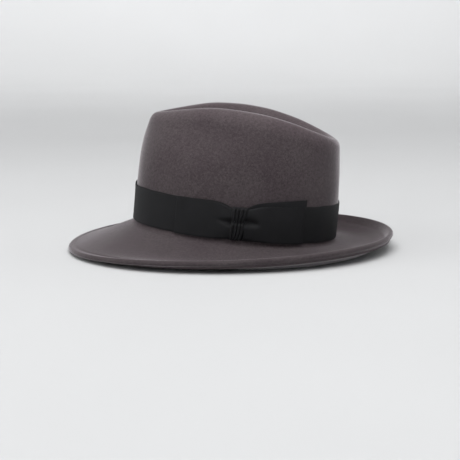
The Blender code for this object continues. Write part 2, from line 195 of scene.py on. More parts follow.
# Studio: a round pale sweep, soft boxes at (x, y, z) with (width, height) and watts, and the air
SWEEP_FLAT = 2.6
SWEEP_BEND = 1.0
SWEEP_HIGH = 3.0
PAPER_FLOOR = (0.60, 0.605, 0.61)
PAPER_WALL = (0.86, 0.865, 0.875)
HAT_CENTRE = (0.0, 0.0, 0.07)
LIGHTS = (
    ("top_box", (0.0, 0.0, 2.3), (2.4, 2.4), 46),
    ("front_top_box", (0.0, -1.3, 1.9), (2.4, 1.2), 24),
    ("left_box", (-2.1, 0.0, 1.2), (1.4, 1.4), 10),
    ("left_front_box", (-1.7, -1.6, 1.0), (1.4, 1.2), 6),
    ("right_box", (2.1, 0.0, 1.2), (1.4, 1.4), 2.5),
    ("right_back_box", (1.7, 1.6, 1.0), (1.4, 1.2), 2),
)
WASHES = (("back_wash", 90, 17), ("left_wash", 180, 5), ("front_wash", 270, 5), ("right_wash", 0, 5))
WASH_AT = (2.2, 2.3)                # distance from the hat and height of a wash, and of its aim
WASH_AIM = (3.1, 0.2)
WASH_SIZE = (3.4, 0.7)
WASH_SPREAD = math.radians(100)
AIR = 0.02
AIR_COLOUR = (0.95, 0.97, 1.0, 1)

# Camera, at the photograph's side view
CAMERA_AT = (0.00155, -1.4010, 0.2499)
CAMERA_AIM = (-0.00065, 0.0, 0.0171)
CAMERA_ROLL = math.radians(-0.54)
CAMERA_LENS = 109.57
CAMERA_SENSOR = 36


# ---------------------------------------------------------------- shape of the hat

def angles(count=AROUND):
    return np.arange(count) * 2 * math.pi / count


def head_outline(turn):
    c, s = np.cos(turn), np.sin(turn)
    oval = np.abs(c / HEAD_LONG) ** HEAD_SQUARE + np.abs(s / HEAD_WIDE) ** HEAD_SQUARE
    reach = oval ** (-1 / HEAD_SQUARE)
    return np.stack([HEAD_MID + reach * c, reach * s], -1)


def outward(turn):
    step = head_outline(turn + 1e-4) - head_outline(turn - 1e-4)
    side = np.stack([step[..., 1], -step[..., 0]], -1)
    return side / np.linalg.norm(side, axis=-1, keepdims=True)


def ridge_height(x):
    away = x - PEAK_X
    return PEAK - np.where(away < 0, FALL_FRONT, FALL_BACK) * away ** 2


def ridge_plan(turn):
    taper = np.sqrt(np.cos(turn / 2) ** 2 + RIDGE_TIP)
    return np.stack([RIDGE_MID + RIDGE_LONG * np.cos(turn), RIDGE_WIDE * np.sin(turn) * taper], -1)


def joined(plan, height):
    return np.concatenate([plan, height[..., None]], -1)


def wall_point(turn, share, inset=0.0):
    """Point on the crown wall; share 0 is the brim fold and 1 the ridge."""
    base, top = head_outline(turn), ridge_plan(turn)
    back = np.cos(turn)
    power = LEAN_SIDE + np.where(back < 0, LEAN_FRONT, LEAN_BACK) * back ** 2
    lean = np.clip((share - WALL_START) / (1 - WALL_START), 0, None) ** power
    plan = base + (top - base) * lean[..., None]
    height = share * ridge_height(top[..., 0])
    dimple = np.exp(-((plan[..., 0] - PINCH_AT[0]) / PINCH_SIZE[0]) ** 2
                    - ((height - PINCH_AT[1]) / PINCH_SIZE[1]) ** 2)
    plan = plan - outward(turn) * (PINCH * dimple + inset)[..., None]
    return joined(plan, height)


def wall_at(turn, height, inset=0.0):
    """Point on the crown wall at a height, moved in by inset."""
    turn, height = np.broadcast_arrays(turn, height)
    share = height / ridge_height(ridge_plan(turn)[..., 0])
    return wall_point(turn, share, inset + np.zeros_like(share))


def ridge_apex(turn):
    return wall_point(turn, np.ones_like(turn))


def crease_point(turn):
    x = RIDGE_MID + CREASE_LONG * np.cos(turn)
    depth = DENT * (1 - CREASE_RUNOUT * np.cos(turn) ** 4)
    return np.stack([x, np.zeros_like(x), ridge_height(x) - depth], -1)


def dent_point(turn, share):
    """Point on the dent; share 0 is the ridge and 1 the crease."""
    apex, bottom = ridge_apex(turn), crease_point(turn)
    plan = apex[..., :2] + (bottom - apex)[..., :2] * share[..., None]
    fall = DENT_BOWL * np.sin(share * math.pi / 2) + (1 - DENT_BOWL) * (0.5 - 0.5 * np.cos(share * math.pi))
    return joined(plan, apex[..., 2] + (bottom - apex)[..., 2] * fall)


def rolled(start, corner, end, t):
    return start * (1 - t) ** 2 + corner * (2 * t * (1 - t)) + end * t ** 2


def waves(turn, amounts):
    return sum(a * np.cos(k * turn) for k, a in enumerate(amounts))


def brim_point(turn, share):
    wide, curl, edge = waves(turn, BRIM), waves(turn, CURL), waves(turn, EDGE_HEIGHT)
    plan = head_outline(turn) + outward(turn) * (wide * share)[..., None]
    return joined(plan, (edge - curl) * share + curl * share ** CURL_POWER)


def surface_normals(rings):
    grid = np.array(rings)
    along = np.gradient(grid, axis=0)
    around = np.roll(grid, -1, axis=1) - np.roll(grid, 1, axis=1)
    normal = np.cross(along, around)
    return normal / np.linalg.norm(normal, axis=-1, keepdims=True)


def hat_to_world(points):
    """Tip the hat onto its brim."""
    c, s = math.cos(TILT), math.sin(TILT)
    turn = np.array([[c, 0, s], [0, 1, 0], [-s, 0, c]])
    return points @ turn.T + np.array(HAT_AT)


# ---------------------------------------------------------------- mesh helpers

def make_piece(name, verts, faces, material, node, uv=None):
    """A smooth closed mesh that rides on the hat and stands for its CAD node."""
    mesh = bpy.data.meshes.new(name)
    mesh.from_pydata(hat_to_world(np.asarray(verts)).tolist(), [], faces)
    if uv is not None:
        layer = mesh.uv_layers.new(name="cloth")
        corner = np.empty(len(mesh.loops), dtype=np.int32)
        mesh.loops.foreach_get("vertex_index", corner)
        layer.data.foreach_set("uv", np.asarray(uv)[corner].astype(np.float32).ravel())
    shape = bmesh.new()
    shape.from_mesh(mesh)
    bmesh.ops.recalc_face_normals(shape, faces=shape.faces)
    shape.to_mesh(mesh)
    shape.free()
    mesh.shade_smooth()
    mesh.set_sharp_from_angle(angle=math.radians(50))
    piece = bpy.data.objects.new(name, mesh)
    bpy.context.scene.collection.objects.link(piece)
    piece.data.materials.append(material)
    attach(piece, "root")
    if node:
        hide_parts(node)
    return piece


def loop_faces(count, around, closed):
    faces = []
    for r in range(count if closed else count - 1):
        n = (r + 1) % count
        for k in range(around):
            m = (k + 1) % around
            faces.append((r * around + k, r * around + m, n * around + m, n * around + k))
    return faces


def swept(stations, closed):
    """Closed body from sections of equal length; open sweeps are capped."""
    count, around = len(stations), len(stations[0])
    faces = loop_faces(count, around, closed)
    if not closed:
        faces.append(tuple(range(around))[::-1])
        faces.append(tuple((count - 1) * around + k for k in range(around)))
    return np.concatenate(stations), faces


def run_lengths(points):
    """Distance along a line of points, from its first."""
    return np.concatenate([[0], np.cumsum(np.linalg.norm(np.diff(points, axis=0), axis=1))])


def closing_faces(ring, line, around):
    """Faces that close a ring down onto a line through its middle."""
    faces = []
    for k in range(around):
        n = (k + 1) % around
        faces.append((ring + k, ring + n, line + min(n, around - n), line + min(k, around - k)))
    return faces


def closed_shell(rings, line, drop):
    """Body of rings, closed along line at its first ring and along line less drop at its last."""
    faces = loop_faces(len(rings), AROUND, False)
    start = len(rings) * AROUND
    faces += closing_faces(0, start, AROUND)
    faces += closing_faces(start - AROUND, start + len(line), AROUND)
    return np.concatenate(rings + [line, line - drop]), faces


def cloth_uv(lengths, heights):
    """UV in metres: along the strip, and across it."""
    return np.array([(u, v) for u in lengths for v in heights])


# ---------------------------------------------------------------- felt

def ripple(points):
    """Slow unevenness of the felt, in metres."""
    x, y, z = points[..., 0], points[..., 1], points[..., 2]
    one = np.sin(90 * x + 60 * z + 1.3) * np.sin(75 * y - 40 * z + 0.4)
    two = np.sin(150 * z - 70 * x + 2.1) * np.sin(120 * x + 50 * y)
    return RIPPLE * (one + 0.6 * two)


def outer_rings(turn):
    """Rings of the felt's outer side, from the crease over the ridge and out to the brim's edge."""
    roll = ROLL_SIDE + (ROLL_ENDS - ROLL_SIDE) * np.cos(turn) ** 2
    apex = ridge_apex(turn)
    inner = roll / np.linalg.norm((crease_point(turn) - apex)[..., :2], axis=-1)
    rings = [dent_point(turn, inner + (1 - inner) * s) for s in np.linspace(0.96, 0.05, 18)]
    start = dent_point(turn, inner)
    low = 1 - roll * (1 + (ROLL_DOWN - 1) * np.sin(turn) ** 2) / apex[..., 2]
    end = wall_point(turn, low)
    rings += [rolled(start, apex, end, t) for t in np.linspace(0, 1, 9)]
    foot = FOLD / apex[..., 2]
    rings += [wall_point(turn, foot + (low - foot) * s) for s in np.linspace(1, 0, 34)[1:-1]]
    first = FOLD / waves(turn, BRIM)
    corner = brim_point(turn, np.zeros_like(turn))
    above, beyond = wall_point(turn, foot), brim_point(turn, first)
    rings += [rolled(above, corner, beyond, t) for t in np.linspace(0, 1, 7)]
    wide = waves(turn, BRIM)
    last = 1 - 0.5 * WELT_THICK / wide
    flat = 1 - BRIM_RIM / wide
    rings += [brim_point(turn, first + (flat - first) * s) for s in np.linspace(0, 1, 26)[1:]]
    rings += [brim_point(turn, flat + (last - flat) * s) for s in np.linspace(0, 1, RIM_RINGS + 1)[1:]]
    return rings


def bead(inside):
    """Height of the rim's soft bead by distance inside the rim."""
    crest = BEAD * np.exp(-((inside - WELT_THICK / 2) / BEAD_WIDE) ** 2)
    return crest - BEAD_GROOVE * np.exp(-((inside - BEAD_GROOVE_AT) / BEAD_GROOVE_WIDE) ** 2)


def felt_body(material):
    """Crown and brim in one piece; the ripple fades out towards the edge, which is folded under."""
    turn = angles()
    outer = outer_rings(turn)
    normal = surface_normals(outer)
    count = len(outer)
    calm = np.clip((count - 1 - np.arange(count)) / (2 * RIM_RINGS), 0, 1)
    rim = np.linspace(WELT_THICK / 2, BRIM_RIM, RIM_RINGS + 1)[::-1]
    lift = np.concatenate([np.zeros(count - RIM_RINGS - 1), bead(rim)])
    outer = [ring + normal[k] * (ripple(ring) * calm[k] + lift[k])[..., None] for k, ring in enumerate(outer)]
    normal = surface_normals(outer)
    edge, up = outer[-1], normal[-1]
    out = edge - outer[-2]
    out = out / np.linalg.norm(out, axis=-1, keepdims=True)
    radius = WELT_THICK / 2
    high = radius + BEAD / 2
    rings = list(outer)
    for bend in np.radians(np.arange(15, 181, 15)):
        rings.append(edge + out * (radius * math.sin(bend)) - up * (high - high * math.cos(bend)))
    welt = WELT_WIDE - radius
    under = 2 * high
    for back, down in WELT_SECTION:
        rings.append(edge - out * (welt * back) - up * (under + WELT_LIP * down))
    rings.append(edge - out * (welt + 0.0004) - up * (FELT + BEAD))
    for k in range(count - 1 - RIM_RINGS, -1, -1):
        rings.append(outer[k] - normal[k] * FELT)
    verts, faces = closed_shell(rings, crease_point(turn[:AROUND // 2 + 1]), np.array([0, 0, FELT]))
    return make_piece("hat_felt", verts, faces, material, "felt_body")


# ---------------------------------------------------------------- ribbon and bow

def side_turn(distance):
    """Direction round the hat by distance along its left side, + to the back."""
    turn = np.linspace(math.radians(-150), math.radians(-30), 600)
    outline = head_outline(turn)
    length = run_lengths(outline)
    length -= np.interp(0, outline[:, 0], length)
    return np.interp(distance, length, turn)


def across(low, top, count=21):
    """Heights across a ribbon, a little closer together at its two edges."""
    even = np.linspace(0, 1, count)
    share = 0.4 * even + 0.6 * (0.5 - 0.5 * np.cos(even * math.pi))
    return low + (top - low) * share, share


def selvedge(share, width):
    """The thicker woven edge of the ribbon, in metres."""
    near = np.minimum(share, 1 - share) * width
    line = SELVEDGE_LINE * np.exp(-((near - SELVEDGE) / SELVEDGE_WIDE) ** 2)
    return line - SELVEDGE_THIN * np.exp(-(near / 0.0004) ** 2)


def hatband(material):
    middle = side_turn((KNOT_FROM + KNOT_TO) / 2)
    half = BAND_GAP / 2 / HEAD_WIDE
    turns = np.linspace(middle + half, middle + 2 * math.pi - half, 361)
    outline = head_outline(turns)
    length = run_lengths(outline)
    stations = []
    for turn in turns:
        away = min(turn - middle, middle + 2 * math.pi - turn) * HEAD_WIDE
        high = BAND_HIGH - BAND_DIP * math.exp(-(away / BAND_DIP_REACH) ** 2)
        high += BAND_WAVES[0] * math.sin(9 * turn) + BAND_WAVES[1] * math.sin(23 * turn + 1)
        height, share = across(BAND_LOW, BAND_LOW + high)
        flare = BAND_FLARE * max(0.0, -math.cos(turn)) ** 2 * share ** 4
        face = RIBBON + BAND_LIFT + flare + selvedge(share, high)
        outer = wall_at(turn, height, -face)
        inner = wall_at(turn, height, -(BAND_LIFT + flare))
        stations.append(np.concatenate([outer, inner[::-1]]))
    heights = np.concatenate([height, height[::-1]])
    verts, faces = swept(stations, False)
    band = make_piece("ribbon_band", verts, faces, material, "hatband", cloth_uv(length, heights))


def crease(distance, height):
    """Depth of the fold pressed across the bow, which dies away on both wings."""
    front = np.clip((KNOT_FROM - distance) / CREASE_REACH[0], 0, 1)
    rear = np.clip((distance - KNOT_TO) / CREASE_REACH[1], 0, 1)
    reach = (1 - front) ** 1.3 * (1 - rear ** 3)
    line_front = CREASE_FRONT[0] + CREASE_FRONT[1] * (distance - KNOT_FROM)
    line_rear = CREASE_REAR[0] + CREASE_REAR[1] * (distance - KNOT_TO)
    turnover = np.clip((distance - KNOT_FROM) / (KNOT_TO - KNOT_FROM), 0, 1)
    line = line_front * (1 - turnover) + line_rear * turnover
    above = height - line
    flank = np.where(above > 0, CREASE_FLANK * (0.5 + 0.5 * reach), CREASE_BELOW)
    return CREASE_DEEP * reach * np.exp(-np.abs(above / flank) ** 1.6)


def puff(distance):
    """The wings stand off the hat where they run into the knot."""
    away = np.maximum(KNOT_FROM - distance, distance - KNOT_TO)
    return BOW_RISE * np.exp(-(np.clip(away, 0, None) / BOW_PUFF_REACH) ** 2)


def ribbon_run(path, low, top, thick, node, name, material, pressed=True):
    """A ribbon that follows path, a list of (distance, lift) points of its middle, over the band."""
    path = np.array(path)
    along = np.gradient(path, axis=0)
    along /= np.linalg.norm(along, axis=1, keepdims=True)
    side = np.stack([-along[:, 1], along[:, 0]], -1)
    length = run_lengths(path)
    stations = []
    for k, (distance, lift) in enumerate(path):
        height, share = across(low[k], top[k], 61)
        faces_at = []
        for sign in (1, -1):
            d = distance + side[k, 0] * sign * thick / 2 + 0 * height
            edge = selvedge(share, top[k] - low[k]) * sign * 0.5
            crowned = puff(d) * np.clip(4 * share * (1 - share), 0, 1) ** 0.7
            face = lift + side[k, 1] * sign * thick / 2 + edge * side[k, 1]
            if pressed:
                face = face + crowned - crease(d, height) * min(1.0, crowned.max() / BOW_RISE + 0.25)
            faces_at.append(wall_at(side_turn(d), height, -face))
        stations.append(np.concatenate([faces_at[0], faces_at[1][::-1]]))
    heights = np.concatenate([height, height[::-1]])
    verts, faces = swept(stations, False)
    piece = make_piece(name, verts, faces, material, node, cloth_uv(length, heights))


def folded_loop(near, far, lift, count=44):
    """Path of a flattened ribbon loop: out along the front, round the fold and back underneath."""
    thick = RIBBON_THIN
    share = np.linspace(0, 1, count)
    way = 1 if far > near else -1
    front = [(near + (far - near) * s, lift + 1.5 * thick + 0.0002 * math.sin(math.pi * s)) for s in share]
    bend = [(far + way * 0.0004 * math.sin(a), lift + thick + 0.5 * thick * math.cos(a))
            for a in np.radians([36, 72, 108, 144])]
    rear = [(far + (near - far) * s, lift + 0.5 * thick) for s in share]
    path = np.array(front + bend + rear)
    path[:, 1] -= END_PRESS * ((path[:, 0] - near) / (far - near)) ** 2
    return path


def waist(path, near, drop, reach):
    """Lower and upper edge of a wing along its path; it narrows into the knot."""
    away = np.abs(np.array(path)[:, 0] - near)
    pull = np.exp(-(away / reach) ** 1.4)
    return WING_LOW + WING_FOOT * pull, WING_TOP - drop * pull


def bow(material):
    path = folded_loop(KNOT_FROM + UNDER_KNOT, FRONT_WING_TO, OVER_BAND)
    low, top = waist(path, KNOT_FROM, *FRONT_WING_DIP)
    crest, crest_at, crest_wide = FRONT_WING_CREST
    top = top + crest * np.exp(-((np.array(path)[:, 0] - crest_at) / crest_wide) ** 2)
    ribbon_run(path, low, top, RIBBON_THIN, "bow_front_wing", "bow_wing_front", material)
    path = folded_loop(KNOT_TO - UNDER_KNOT, REAR_WING_TO, OVER_TAIL)
    low, top = waist(path, KNOT_TO, *REAR_WING_DIP)
    ribbon_run(path, low, top, RIBBON_THIN, "bow_rear_wing", "bow_wing_rear", material)
    share = np.linspace(0, 1, 50)
    start = KNOT_TO - UNDER_KNOT
    path = [(start + (TAIL_TO - start) * s, OVER_BAND + 0.0002 + 0.0004 * s ** 3) for s in share]
    away = np.array(path)[:, 0] - KNOT_TO
    top = TAIL_TOP + TAIL_RISE * np.clip(away / 0.058, 0, 1) ** 0.9
    top = top - TAIL_DIP[0] * np.exp(-np.clip(away + UNDER_KNOT, 0, None) / TAIL_DIP[1])
    low = WING_LOW + 0.0003 + 0 * top
    ribbon_run(path, low, top, RIBBON_THIN, "bow_tail", "bow_tail_end", material, pressed=False)


def knot_edges(height):
    """Front and rear edge of the knot by height: it slants, and it is nipped at the crease."""
    up = np.clip((height - KNOT_LOW) / (KNOT_TOP - KNOT_LOW), 0, 1)
    nip = 0.0009 * np.exp(-((height - CREASE_REAR[0]) / 0.004) ** 2)
    tuck = np.clip(1 - up / 0.25, 0, 1) ** 2
    front = KNOT_FROM - KNOT_LEAN * (1 - up) * 0.35 + nip + 0.0012 * tuck
    rear = KNOT_TO - KNOT_LEAN * (1 - up) - nip - 0.0026 * tuck
    return front, rear


def bow_knot(material):
    """Keeper with four standing pleats, nipped across the middle."""
    columns = 121
    share = np.linspace(0, 1, columns)
    phase = (share * KNOT_PLEATS) % 1.0
    pleat = np.sqrt(np.clip(1 - (2 * phase - 1) ** 2, 0, 1))
    side = np.clip(1 - np.abs(2 * share - 1) ** 16, 0, 1) ** 0.5
    height, up = across(KNOT_LOW, KNOT_TOP, 71)
    front, rear = knot_edges(height)
    fold = np.clip(1 - np.abs(2 * up - 1) ** 18, 0, 1) ** 0.5
    line = (CREASE_FRONT[0] + CREASE_REAR[0]) / 2
    above = height - line
    nip = np.exp(-np.abs(above / np.where(above > 0, 0.0036, 0.0012)) ** 1.6)
    below = np.clip(-above / (line - KNOT_LOW), 0, 1)
    stations = []
    for k in range(columns):
        d = front + (rear - front) * share[k]
        body = (KNOT_RISE + PLEAT_DEEP * (pleat[k] - 1)) * fold * (0.45 + 0.55 * side[k])
        face = OVER_TAIL + BOW_RISE * 0.6 + body - 0.0022 * nip - KNOT_TUCK * below
        turn = side_turn(d)
        outer = wall_at(turn, height, -face)
        inner = wall_at(turn, height, -(BAND_LIFT + RIBBON + 0.0002) + 0 * height)
        stations.append(np.concatenate([outer, inner[::-1]]))
    heights = np.concatenate([height, height[::-1]])
    verts, faces = swept(stations, False)
    keeper = make_piece("bow_keeper", verts, faces, material, "bow_knot",
                        cloth_uv(share * KNOT_FLAT, heights))


# ---------------------------------------------------------------- inside of the crown

def lining_levels(turn, shares):
    """Rings of the crown's wall between the brim fold and the roll of the ridge."""
    height = ridge_apex(turn)[..., 2]
    foot = FOLD / height
    low = 1 - (0.005 + 0.005 * np.cos(turn) ** 2) / height
    return [wall_point(turn, foot + (low - foot) * s) for s in shares]


def inner_rings(turn, shares, depth):
    """Rings of the crown's wall moved in by depth, one number or one list of depths for each ring."""
    rings = lining_levels(turn, shares)
    normal = surface_normals(rings)
    if np.ndim(depth) == 0:
        return [ring - normal[k] * depth for k, ring in enumerate(rings)]
    return [ring - normal[k] * depth[k][..., None] for k, ring in enumerate(rings)]


def gathers(turn, share):
    """Soft standing folds of the satin, deepest at the lower edge."""
    folds = np.sin(46 * turn + 2 * np.sin(3 * turn)) + 0.6 * np.sin(71 * turn + 1.7 * np.sin(5 * turn))
    return 0.00022 * (1 + folds / 1.6) * (0.4 + 0.6 * share)


def lining_wall(material):
    turn = angles()
    shares = np.linspace(LINING_TO, LINING_FROM, 18)
    deep = [FELT + LINING_GAP + gathers(turn, 1 - k / 17) for k in range(18)]
    outer = inner_rings(turn, shares, [d - 0.0002 for d in deep])
    inner = inner_rings(turn, shares, [d + LINING - 0.0002 for d in deep])
    rows = outer + inner[::-1]
    stations = [np.array([row[k] for row in rows]) for k in range(AROUND)]
    verts, faces = swept(stations, True)
    side = make_piece("lining_side", verts, faces, material, "lining_wall")


def lining_tip(material):
    turn = angles()
    edge = inner_rings(turn, (LINING_TO, 0.80), FELT + LINING_GAP + LINING + 0.0006 + 2 * PIPING)[0]
    middle = crease_point(turn) - np.array([0, 0, TIP_DROP])
    rings = []
    for share in np.linspace(0.96, 0.0, 26):
        plan = edge[..., :2] + (middle - edge)[..., :2] * share
        puckers = TIP_PUCKER * np.sin(38 * turn + 3 * np.sin(2 * turn)) * (1 - share) ** 3 * share ** 0.3
        rise = (middle - edge)[..., 2] * math.sin(share * math.pi / 2)
        rings.append(joined(plan, edge[..., 2] + rise + puckers))
    down = np.array([0, 0, LINING])
    rings += [ring - down for ring in rings[::-1]]
    verts, faces = closed_shell(rings, middle[:AROUND // 2 + 1], down)
    top = make_piece("lining_top", verts, faces, material, "lining_tip")


def lining_piping(material):
    turn = angles()
    deep = FELT + LINING_GAP + LINING + 0.0003 + PIPING
    centre = inner_rings(turn, (LINING_TO, 0.80), deep)[0]
    out = outward(turn)
    stations = []
    for k in range(AROUND):
        side = np.array([out[k][0], out[k][1], 0.0])
        bends = np.arange(12) * 2 * math.pi / 12
        twist = 1 + 0.05 * np.sin(bends * 2 + k * 1.1)
        spokes = [side * math.cos(b) + np.array([0, 0, math.sin(b)]) for b in bends]
        stations.append(np.array([centre[k] + PIPING * w * spoke for spoke, w in zip(spokes, twist)]))
    verts, faces = swept(stations, True)
    make_piece("lining_cord_piping", verts, faces, material, "lining_piping")


def seam_turns(count=361):
    return np.linspace(SWEAT_GAP, 2 * math.pi - SWEAT_GAP, count)


def sweatband(material):
    turns = seam_turns()
    outline = head_outline(turns)
    length = run_lengths(outline)
    stations = []
    for turn in turns:
        height, share = across(SWEAT_LOW, SWEAT_TOP, 25)
        wave = 0.00022 * math.sin(7 * turn) * share ** 2 + 0.00012 * math.sin(19 * turn + 2) * share
        from_top = (1 - share) * (SWEAT_TOP - SWEAT_LOW)
        tooled = 0.00025 * np.exp(-((from_top - 0.0035) / 0.0005) ** 2)
        thin = 0.0005 * np.exp(-(from_top / 0.0006) ** 2)
        outer = wall_at(turn, height, LEATHER_IN + wave + thin * 0.3)
        inner = wall_at(turn, height, LEATHER_IN + LEATHER + wave - tooled - thin)
        stations.append(np.concatenate([outer, inner[::-1]]))
    heights = np.concatenate([height, height[::-1]])
    verts, faces = swept(stations, False)
    band = make_piece("leather_sweatband", verts, faces, material, "sweatband",
                      cloth_uv(length, heights))


def reed_line(count=361):
    turn = seam_turns(count)
    centre = wall_at(turn, np.zeros_like(turn), LEATHER_IN + LEATHER / 2)
    out = outward(turn)
    return centre - np.array([0, 0, REED_DOWN]), joined(out, np.zeros(len(out)))


def round_section(centre, side, radius, bends):
    return [centre + radius * (side * math.cos(b) + np.array([0, 0, math.sin(b)])) for b in bends]


def reed_and_tape(reed_material, tape_material):
    centre, out = reed_line()
    bends = np.arange(14) * 2 * math.pi / 14
    stations = [np.array(round_section(c, o, REED, bends)) for c, o in zip(centre, out)]
    verts, faces = swept(stations, False)
    make_piece("reed_cord", verts, faces, reed_material, "sweatband_reed")
    bends = np.radians(np.linspace(128, 412, 16))
    stations = []
    for k, (c, o) in enumerate(zip(centre, out)):
        swell = 1 + 0.03 * math.sin(k * 0.7)
        outside = round_section(c, o, (REED + 0.0003 + TAPE) * swell, bends)
        inside = round_section(c, o, REED + 0.0003, bends[::-1])
        stations.append(np.array(outside + inside))
    verts, faces = swept(stations, False)
    length = np.linspace(0, 0.57, len(stations))
    rounds = np.concatenate([bends, bends[::-1]]) * REED
    fold = make_piece("reed_tape_fold", verts, faces, tape_material, "reed_tape",
                      cloth_uv(length, rounds))


def stitch(start, end, lift, radius, sides=8, steps=7):
    """One thread stitch that rises from the leather and dives again."""
    along = end - start
    flat = np.cross(along, lift)
    flat = flat / np.linalg.norm(flat)
    up = lift / np.linalg.norm(lift)
    stations = []
    for t in np.linspace(0, 1, steps):
        centre = start + along * t + lift * math.sin(math.pi * t)
        size = radius * (0.55 + 0.45 * math.sin(math.pi * t))
        bends = np.arange(sides) * 2 * math.pi / sides
        stations.append(np.array([centre + size * (flat * math.cos(b) + up * math.sin(b)) for b in bends]))
    return swept(stations, False)


def merged(parts):
    verts, faces, base = [], [], 0
    for v, f in parts:
        verts.append(v)
        faces += [tuple(i + base for i in face) for face in f]
        base += len(v)
    return np.concatenate(verts), faces


def leather_stitches(material):
    """Row of stitches that sews the leather to the reed tape and the felt."""
    inset = LEATHER_IN + LEATHER
    turn = np.linspace(0, 2 * math.pi, 1441)[:-1]
    outline = head_outline(turn)
    total = np.sum(np.linalg.norm(np.diff(outline, axis=0, append=outline[:1]), axis=1))
    length = run_lengths(outline)
    count = int(total / STITCH)
    parts = []
    for k in range(2, count - 1):
        a = np.interp((k + 0.14) * STITCH, length, turn)
        b = np.interp((k + 0.86) * STITCH, length, turn)
        pair = wall_at(np.array([a, b]), np.array([0.0030, 0.0027]), inset - 0.0001)
        inward = -outward(np.array([(a + b) / 2]))[0]
        parts.append(stitch(pair[0], pair[1], np.array([*inward, 0.0]) * STITCH_RISE, THREAD))
    verts, faces = merged(parts)
    make_piece("leather_stitching", verts, faces, material, None)


def seam_stitches(material):
    """Zigzag that closes the leather's back seam."""
    inset = LEATHER_IN + LEATHER - 0.0001
    parts = []
    for k in range(SEAM_ZIGZAGS):
        low = SEAM_FROM + k * SEAM_STEP
        side = SEAM_TURN if k % 2 else -SEAM_TURN
        pair = wall_at(np.array([side, -side]), np.array([low, low + SEAM_STEP]), inset)
        parts.append(stitch(pair[0], pair[1], np.array([-0.0004, 0, 0]), 0.0002))
    verts, faces = merged(parts)
    make_piece("seam_stitching", verts, faces, material, None)


def seam_bow(material):
    """Small flat bow over the back seam of the leather."""
    inset = LEATHER_IN + LEATHER + 0.0003
    parts = []
    for way in (-1, 1):
        share = np.linspace(0, 1, 22)
        reach = way * (SEAM_BOW_FROM + (SEAM_BOW_HALF - SEAM_BOW_FROM) * share)
        out = [(d, 0.00075 + SEAM_BOW_PUFF * math.sin(math.pi * s)) for d, s in zip(reach, share)]
        back = [(d, 0.00020) for d, _ in out[::-1]]
        path = np.array(out + back)
        away = np.abs(path[:, 0])
        half = np.interp(away, [0.001, 0.006, SEAM_BOW_HALF], [SEAM_BOW_HIGH[0], 0.0040, SEAM_BOW_HIGH[1]])
        stations = []
        for (d, lift), h in zip(path, half):
            height, up = across(SEAM_BOW_AT - h, SEAM_BOW_AT + h, 9)
            turn = d / HEAD_LONG * 1.3
            dish = 0.0002 * np.cos((up - 0.5) * math.pi)
            near = wall_at(turn, height, inset + lift + dish)
            far = wall_at(turn, height, inset + lift + dish - 0.0002)
            stations.append(np.concatenate([near, far[::-1]]))
        parts.append(swept(stations, False))
    stations = []
    for d in np.linspace(-0.0021, 0.0021, 13):
        height, up = across(SEAM_BOW_AT - 0.0026, SEAM_BOW_AT + 0.0026, 11)
        lift = 0.0014 + 0.0006 * math.sqrt(max(0.0, 1 - (d / 0.0022) ** 2)) + 0.00012 * math.cos(d * 4200)
        turn = d / HEAD_LONG * 1.3
        near = wall_at(turn, height, inset + lift)
        far = wall_at(turn, height, inset + 0.0 * height)
        stations.append(np.concatenate([near, far[::-1]]))
    parts.append(swept(stations, False))
    verts, faces = merged(parts)
    bow_piece = make_piece("leather_seam_bow", verts, faces, material, "sweatband_bow")


def size_tag(material):
    inset = LEATHER_IN + LEATHER + 0.0006
    stations = []
    shares = np.linspace(-1, 1, 25)
    for s in shares:
        x = abs(s) * TAG_HALF
        cut = 0.0
        if x > TAG_HALF - TAG_CORNER:
            cut = TAG_CORNER - math.sqrt(max(0.0, TAG_CORNER ** 2 - (x - TAG_HALF + TAG_CORNER) ** 2))
        height, _ = across(TAG_FROM + cut, TAG_TO - cut, 9)
        turn = TAG_TURN + s * TAG_HALF / HEAD_LONG * 1.3
        curl = 0.0004 * s ** 4
        near = wall_at(turn, height, inset + 0.0004 + curl)
        far = wall_at(turn, height, inset + curl)
        stations.append(np.concatenate([near, far[::-1]]))
    heights = np.concatenate([height, height[::-1]])
    verts, faces = swept(stations, False)
    make_piece("paper_size_tag", verts, faces, material, "size_tag",
               cloth_uv(shares * TAG_HALF, heights))


# ---------------------------------------------------------------- materials

